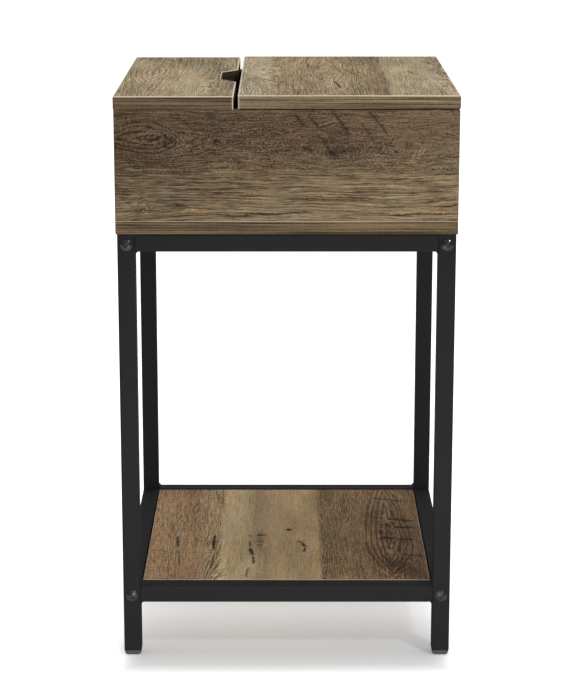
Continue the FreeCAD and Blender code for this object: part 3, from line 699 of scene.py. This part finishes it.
# Lid: pale arches along the slot, a darker middle and a pale plank on the right
LID_LOOK = Look(
    seed=62.0, band=(127, 109, 83), stretch=1.3, cloud=0.9, slot_side=-1, edge=0.75,
    tones=[
        Tone(0.0, 162, 147, 122, 1.15, 0.5),
        Tone(0.14, 157, 142, 117, 1.15, 0.5),
        Tone(0.165, 142, 124, 95, 1.1, 0.6),
        Tone(0.3, 147, 127, 98, 1.1, 0.6),
        Tone(0.45, 149, 129, 100, 1.1, 0.5),
        Tone(0.60, 142, 122, 93, 1.1, 0.5),
        Tone(0.688, 128, 110, 84, 1.1, 0.5),
        Tone(0.697, 159, 142, 113, 0.6, 0.6),
        Tone(0.9, 167, 151, 122, 0.75, 0.5),
        Tone(1.0, 166, 151, 122, 0.95, 0.5),
    ],
    knots=[Knot(0.05, 0.045, 0.08, 0.022, 4.0, 0.10)],
    hills=[
        Hill(0.05, -0.030, 0.11, 0.014, 0.06, 0.2, 0.035),
        Hill(-0.043, -0.037, 0.024, 0.010, -0.24),
        Hill(0.16, 0.03, 0.05, 0.02, 0.06, 0.5),
        Hill(0.12, 0.172, 0.16, 0.012, 0.0, 0.0, 0.03),
        Hill(0.17, 0.098, 0.05, 0.016, -0.12),
        Hill(-0.17, 0.104, 0.05, 0.010, -0.12),
        Hill(-0.04, 0.160, 0.06, 0.020, 0.06, 1.0),
        Hill(-0.17, 0.16, 0.05, 0.03, -0.08, 0.3),
        Hill(0.06, 0.182, 0.16, 0.016, -0.14),
        Hill(0.15, 0.146, 0.06, 0.018, -0.10),
        Hill(0.15, 0.080, 0.06, 0.022, -0.12),
        Hill(-0.09, 0.121, 0.07, 0.012, 0.07),
        Hill(0.18, 0.185, 0.05, 0.020, -0.10),
    ],
    marks=[
        Mark((0.160, 0.0243), (0.060, 0.0262), 0.0014, 0.6),
        Mark((-0.055, 0.0535), (-0.148, 0.0620), 0.0018, 0.85),
        Mark((-0.055, 0.0500), (-0.170, 0.0670), 0.0012, -0.5),
        Mark((0.080, 0.0655), (-0.010, 0.0775), 0.0014, 0.5),
        Mark((0.070, 0.0715), (-0.030, 0.0835), 0.0014, 0.45),
        Mark((0.060, 0.0590), (-0.030, 0.0710), 0.0012, 0.4),
        Mark((0.034, 0.1420), (0.012, 0.1520), 0.0018, 0.6),
        Mark((0.145, 0.1660), (0.120, 0.1760), 0.0020, 0.6),
        Mark((0.090, 0.0055), (-0.020, 0.0105), 0.0012, -0.45),
        Mark((0.040, 0.0145), (-0.060, 0.0115), 0.0010, -0.4),
    ],
)

# Shelf: a brown, a pale, a tan and a dark plank, with short dark marks and a large knot on the right
SHELF_LOOK = Look(
    seed=72.0, band=(124, 102, 74), stretch=1.6, cloud=0.6, edge=0.45,
    tones=[
        Tone(0.0, 170, 138, 105, 1.0, 0.2),
        Tone(0.17, 164, 134, 102, 1.0, 0.2),
        Tone(0.215, 164, 141, 109, 1.1, 0.2),
        Tone(0.255, 175, 148, 114, 1.1, 0.2),
        Tone(0.268, 206, 182, 144, 0.35, 0.1),
        Tone(0.33, 200, 177, 139, 0.35, 0.1),
        Tone(0.40, 160, 138, 108, 0.45, 0.1),
        Tone(0.47, 182, 155, 119, 0.38, 0.0),
        Tone(0.615, 180, 153, 115, 0.38, 0.0),
        Tone(0.63, 133, 110, 82, 1.25, 0.1),
        Tone(0.74, 137, 112, 83, 1.25, 0.2),
        Tone(0.78, 134, 107, 79, 1.2, 0.2),
        Tone(1.0, 113, 88, 65, 1.2, 0.2),
    ],
    knots=[
        Knot(0.04, 0.006, 0.06, 0.022, 4.0, 0.07),
        Knot(-0.035, 0.125, 0.19, 0.032, 5.0, 0.32, -0.35),
    ],
    hills=[
        Hill(-0.13, 0.140, 0.03, 0.022, -0.24, 0.3),
        Hill(-0.03, -0.033, 0.035, 0.008, -0.12, 0.6),
        Hill(-0.20, -0.095, 0.14, 0.02, 0.0, 0.0, 0.02),
        Hill(0.14, 0.130, 0.06, 0.03, 0.14),
        Hill(0.16, 0.055, 0.05, 0.012, -0.12),
        Hill(0.05, -0.120, 0.16, 0.013, -0.10),
        Hill(0.165, -0.118, 0.03, 0.015, -0.18),
        Hill(0.08, -0.150, 0.08, 0.012, 0.07),
        Hill(0.14, -0.040, 0.06, 0.015, -0.14),
        Hill(-0.13, -0.040, 0.05, 0.012, 0.22),
        Hill(-0.14, -0.067, 0.03, 0.012, -0.12),
        Hill(0.13, 0.040, 0.06, 0.014, -0.08),
        Hill(-0.04, 0.040, 0.05, 0.014, 0.08),
        Hill(0.12, 0.080, 0.09, 0.022, -0.16),
        Hill(-0.14, 0.080, 0.03, 0.020, -0.14),
        Hill(-0.03, 0.150, 0.09, 0.015, -0.12),
    ],
    marks=[
        Mark((-0.032, -0.0435), (-0.061, -0.0445), 0.0013, 0.8),
        Mark((-0.058, -0.0445), (-0.094, -0.040), 0.0017, 0.95),
        Mark((-0.089, -0.040), (-0.123, -0.0415), 0.0015, 0.9),
        Mark((-0.128, -0.0455), (-0.173, -0.0475), 0.0012, 0.75),
        Mark((-0.012, -0.038), (-0.014, -0.025), 0.0026, 0.8),
        Mark((-0.016, -0.048), (-0.015, -0.039), 0.0024, 0.6),
        Mark((-0.035, -0.0325), (-0.038, -0.027), 0.0028, 0.6),
        Mark((-0.050, -0.035), (-0.048, -0.028), 0.0026, 0.55),
        Mark((0.014, -0.001), (0.002, 0.005), 0.0032, 0.95),
        Mark((-0.033, 0.014), (-0.043, 0.018), 0.0022, 0.8),
        Mark((-0.041, 0.017), (-0.059, 0.023), 0.0024, 0.95),
        Mark((-0.056, 0.023), (-0.080, 0.0195), 0.0016, 0.9),
        Mark((-0.010, -0.1345), (-0.066, -0.1305), 0.0014, 1.0),
        Mark((-0.060, -0.131), (-0.138, -0.125), 0.0010, 0.7),
        Mark((0.001, -0.090), (-0.078, -0.088), 0.0015, 1.0),
        Mark((-0.073, -0.088), (-0.150, -0.088), 0.0012, 0.8),
        Mark((0.142, 0.0985), (0.122, 0.161), 0.0028, 0.65),
        Mark((0.060, 0.100), (0.055, 0.127), 0.0028, 0.5),
        Mark((0.055, 0.122), (0.041, 0.163), 0.0038, 0.9),
        Mark((0.020, 0.127), (0.016, 0.164), 0.0038, 0.9),
        Mark((-0.019, 0.111), (-0.028, 0.135), 0.0038, 0.95),
        Mark((-0.027, 0.132), (-0.029, 0.161), 0.0036, 0.8),
        Mark((-0.086, 0.140), (-0.094, 0.166), 0.0032, 0.55),
        Mark((-0.050, 0.0785), (-0.094, 0.076), 0.0015, -0.45),
        Mark((0.062, -0.131), (0.037, -0.125), 0.0018, -0.5),
        Mark((-0.077, -0.107), (-0.036, -0.103), 0.0016, -0.4),
    ],
)

LOOKS = {
    "front_panel": FRONT_LOOK,
    "rear_panel": REAR_LOOK,
    "left_panel": LEFT_LOOK,
    "right_panel": RIGHT_LOOK,
    "tub_floor_panel": TUB_FLOOR_LOOK,
    "fixed_top_panel": FIXED_TOP_LOOK,
    "lid_board": LID_LOOK,
    "shelf_panel": SHELF_LOOK,
}

# The other finishes. A noise has its scale and detail, gains are for the darkest and the lightest colour,
# spreads are how far the roughness goes below and above its middle, and a bump has its strength and depth.
NOISE_SPAN = (0.3, 0.7)
PEEL_NOISE = (1300.0, 2.0)
PEEL_DEPTH = 0.0002
PAINT_CLOUD = (35.0, 4.0)
PAINT_CLOUD_HEIGHT = 0.3
PAINT_GAINS = (0.86, 1.14)
PAINT_SPREADS = (0.05, 0.07)
MOULD_GRAIN = (2200.0, 3.0)
MOULD_CLOUD = (60.0, 3.0)
MOULD_GAINS = (0.9, 1.1)
MOULD_SPREADS = (0.05, 0.08)
MOULD_SHINE = 0.4
MOULD_BUMP = (0.15, 0.0002)
PLATE_CLOUD = (220.0, 4.0)
PLATE_GAINS = (0.85, 1.0)
PLATE_SPREADS = (0.06, 0.12)
SCRATCH_SCALES = (300.0, 300.0, 4000.0)
SCRATCH_NOISE = (1.0, 2.0)
SCRATCH_BUMP = (0.06, 0.0001)
DOWEL_FLECKS = (900.0, 4.0)
DOWEL_TONES = [(0.3, linear(176, 140, 96)), (0.7, linear(208, 176, 130))]
DOWEL_ROUGHNESS = 0.7
DOWEL_BUMP = (0.2, 0.0002)


def cloudy(graph, noise, colour, gains):
    """A colour that goes from dark to light with the noise."""
    return graph.mix(noise, toned(colour, gains[0]), toned(colour, gains[1]))


def uneven(graph, noise, roughness, spreads):
    """A roughness that goes from less to more with the noise."""
    return graph.step(noise, *NOISE_SPAN, roughness - spreads[0], roughness + spreads[1])


def powder_coat(name, colour, roughness, shine, peel):
    """Baked black paint with a fine orange-peel skin."""
    graph = new_material(name)
    place = graph.place()
    skin = graph.noise(place, *PEEL_NOISE)
    cloud = graph.noise(place, *PAINT_CLOUD)
    graph.set(Base_Color=cloudy(graph, cloud, colour, PAINT_GAINS),
              Roughness=uneven(graph, cloud, roughness, PAINT_SPREADS), Specular_IOR_Level=shine)
    graph.bump(graph.add(skin, graph.times(cloud, PAINT_CLOUD_HEIGHT)), peel, PEEL_DEPTH)
    return graph.owner


def moulded(name, colour, roughness):
    """Moulded plastic or rubber with a fine grained skin."""
    graph = new_material(name)
    place = graph.place()
    grain = graph.noise(place, *MOULD_GRAIN)
    cloud = graph.noise(place, *MOULD_CLOUD)
    graph.set(Base_Color=cloudy(graph, cloud, colour, MOULD_GAINS),
              Roughness=uneven(graph, grain, roughness, MOULD_SPREADS), Specular_IOR_Level=MOULD_SHINE)
    graph.bump(grain, *MOULD_BUMP)
    return graph.owner


def plated(name, colour, roughness):
    """Zinc plate: bright metal with fine scratches and dull clouds."""
    graph = new_material(name)
    place = graph.place()
    cloud = graph.noise(place, *PLATE_CLOUD)
    drawn_out = [graph.times(side, scale) for side, scale in zip(graph.split(place), SCRATCH_SCALES)]
    scratches = graph.noise(graph.vector(*drawn_out), *SCRATCH_NOISE)
    graph.set(Base_Color=cloudy(graph, cloud, colour, PLATE_GAINS),
              Roughness=uneven(graph, cloud, roughness, PLATE_SPREADS), Metallic=1.0)
    graph.bump(scratches, *SCRATCH_BUMP)
    return graph.owner


def dowel_wood(name):
    """Plain beech with short flecks."""
    graph = new_material(name)
    flecks = graph.noise(graph.place(), *DOWEL_FLECKS)
    graph.set(Base_Color=graph.ramp(flecks, DOWEL_TONES)[0], Roughness=DOWEL_ROUGHNESS)
    graph.bump(flecks, *DOWEL_BUMP)
    return graph.owner


def dress():
    """Give every CAD node its finish."""
    finishes = {
        "frame_black": powder_coat("frame_black", (35, 35, 36), roughness=0.58, shine=0.13, peel=0.12),
        "bolt_black": powder_coat("bolt_black", (14, 14, 15), roughness=0.11, shine=0.8, peel=0.02),
        "lift_black": powder_coat("lift_black", (36, 36, 38), roughness=0.45, shine=0.3, peel=0.12),
        "glide_plastic": moulded("glide_plastic", (82, 82, 83), roughness=0.55),
        "spacer_nylon": moulded("spacer_nylon", (212, 210, 204), roughness=0.45),
        "bumper_rubber": moulded("bumper_rubber", (150, 150, 146), roughness=0.4),
        "zinc_steel": plated("zinc_steel", (196, 196, 190), roughness=0.32),
        "dowel_wood": dowel_wood("dowel_wood"),
    }
    for row in frame["record"]["subparts"]:
        node = row["node"]
        piece = frame["nodes"][node]
        if node in LOOKS:
            material = Oak(node, *UPRIGHTS.get(node, FLAT), LOOKS[node]).material()
        else:
            material = finishes[row["material_slot"]]
        piece.data.materials.clear()
        piece.data.materials.append(material)


def area_light(name, place, target, size, power):
    """A round lamp that faces its target and that the camera doesn't see."""
    lamp = bpy.data.lights.new(name, "AREA")
    lamp.shape = "DISK"
    lamp.size = size
    lamp.energy = power
    holder = bpy.data.objects.new(name, lamp)
    holder.location = place
    holder.visible_camera = False
    holder.rotation_euler = (Vector(target) - Vector(place)).to_track_quat("-Z", "Y").to_euler()
    bpy.context.scene.collection.objects.link(holder)


def light_studio():
    """Soft light from above and in front. The camera sees white round the table, and gloss sees a room that
    is brighter above."""
    graph = Graph(bpy.data.worlds.new("studio"))
    bpy.context.scene.world = graph.owner
    path = graph.node("ShaderNodeLightPath").outputs
    upward = graph.split(graph.node("ShaderNodeTexCoord").outputs["Generated"])[Z]
    seen = graph.math("MAXIMUM", path["Is Camera Ray"], path["Is Transmission Ray"])
    plain = graph.spread(seen, 0.0, 1.0, AMBIENT_STRENGTH, 1.0)
    room = graph.step(upward, 0.0, ROOM_TOP, ROOM_LOW, ROOM_HIGH)
    graph.set(Color=WHITE, Strength=graph.choose(path["Is Glossy Ray"], plain, room))
    middle = (cad_low + cad_high) / 2
    area_light("key", KEY_PLACE, middle, KEY_SIZE, KEY_POWER)
    area_light("fill", FILL_PLACE, middle, FILL_SIZE, FILL_POWER)
    area_light("glint", GLINT_PLACE, middle, GLINT_SIZE, GLINT_POWER)
    area_light("low", LOW_PLACE, LOW_TARGET, LOW_SIZE, LOW_POWER)


def floor_material():
    """Plain pale matt floor with its lift to white for the camera, weaker below the table as a painted
    shadow.
    """
    graph = new_material("floor")
    path = graph.node("ShaderNodeLightPath").outputs
    place = graph.place()
    away = graph.vector_math("DIVIDE", graph.vector_math("SUBTRACT", place, SHADE_MIDDLE), SHADE_HALF)
    aside, ahead, _ = graph.split(away)
    reach = graph.math("MAXIMUM", graph.math("ABSOLUTE", aside), graph.math("ABSOLUTE", ahead))
    # Painted shadow: below the table the lift is weaker, and weakest at the front
    painted_shadow_lift = graph.spread(graph.split(place)[Y], SHADE_FRONT, SHADE_BACK, *SHADE_LIFTS)
    lift = graph.choose(graph.step(reach, 1.0, SHADE_END), painted_shadow_lift, FLOOR_LIFT)
    graph.set(Base_Color=FLOOR_COLOUR, Roughness=FLOOR_ROUGHNESS, Specular_IOR_Level=FLOOR_SHINE,
              Emission_Color=WHITE, Emission_Strength=graph.times(path["Is Camera Ray"], lift))
    return graph.owner


def lay_floor():
    """A plain pale floor that shows white to the camera and keeps the table's shadow, with a painted shadow
    below it.
    """
    mesh = bpy.data.meshes.new("floor")
    corners = [(x * FLOOR_HALF, y * FLOOR_HALF, cad_low.z) for x, y in FLOOR_CORNERS]
    mesh.from_pydata(corners, [], [(0, 1, 2, 3)])
    mesh.materials.append(floor_material())
    floor = bpy.data.objects.new("floor", mesh)
    bpy.context.scene.collection.objects.link(floor)


def place_camera():
    """The photograph's camera."""
    lens = bpy.data.cameras.new("camera")
    lens.lens = CAMERA_LENS
    lens.sensor_width = SENSOR_WIDTH
    camera = bpy.data.objects.new("camera", lens)
    camera.location = CAMERA_PLACE
    camera.rotation_euler = (math.pi / 2 - CAMERA_TILT, 0.0, 0.0)
    bpy.context.scene.collection.objects.link(camera)
    bpy.context.scene.camera = camera


place_camera()
light_studio()
lay_floor()
dress()
bpy.context.scene.view_settings.view_transform = "Standard"
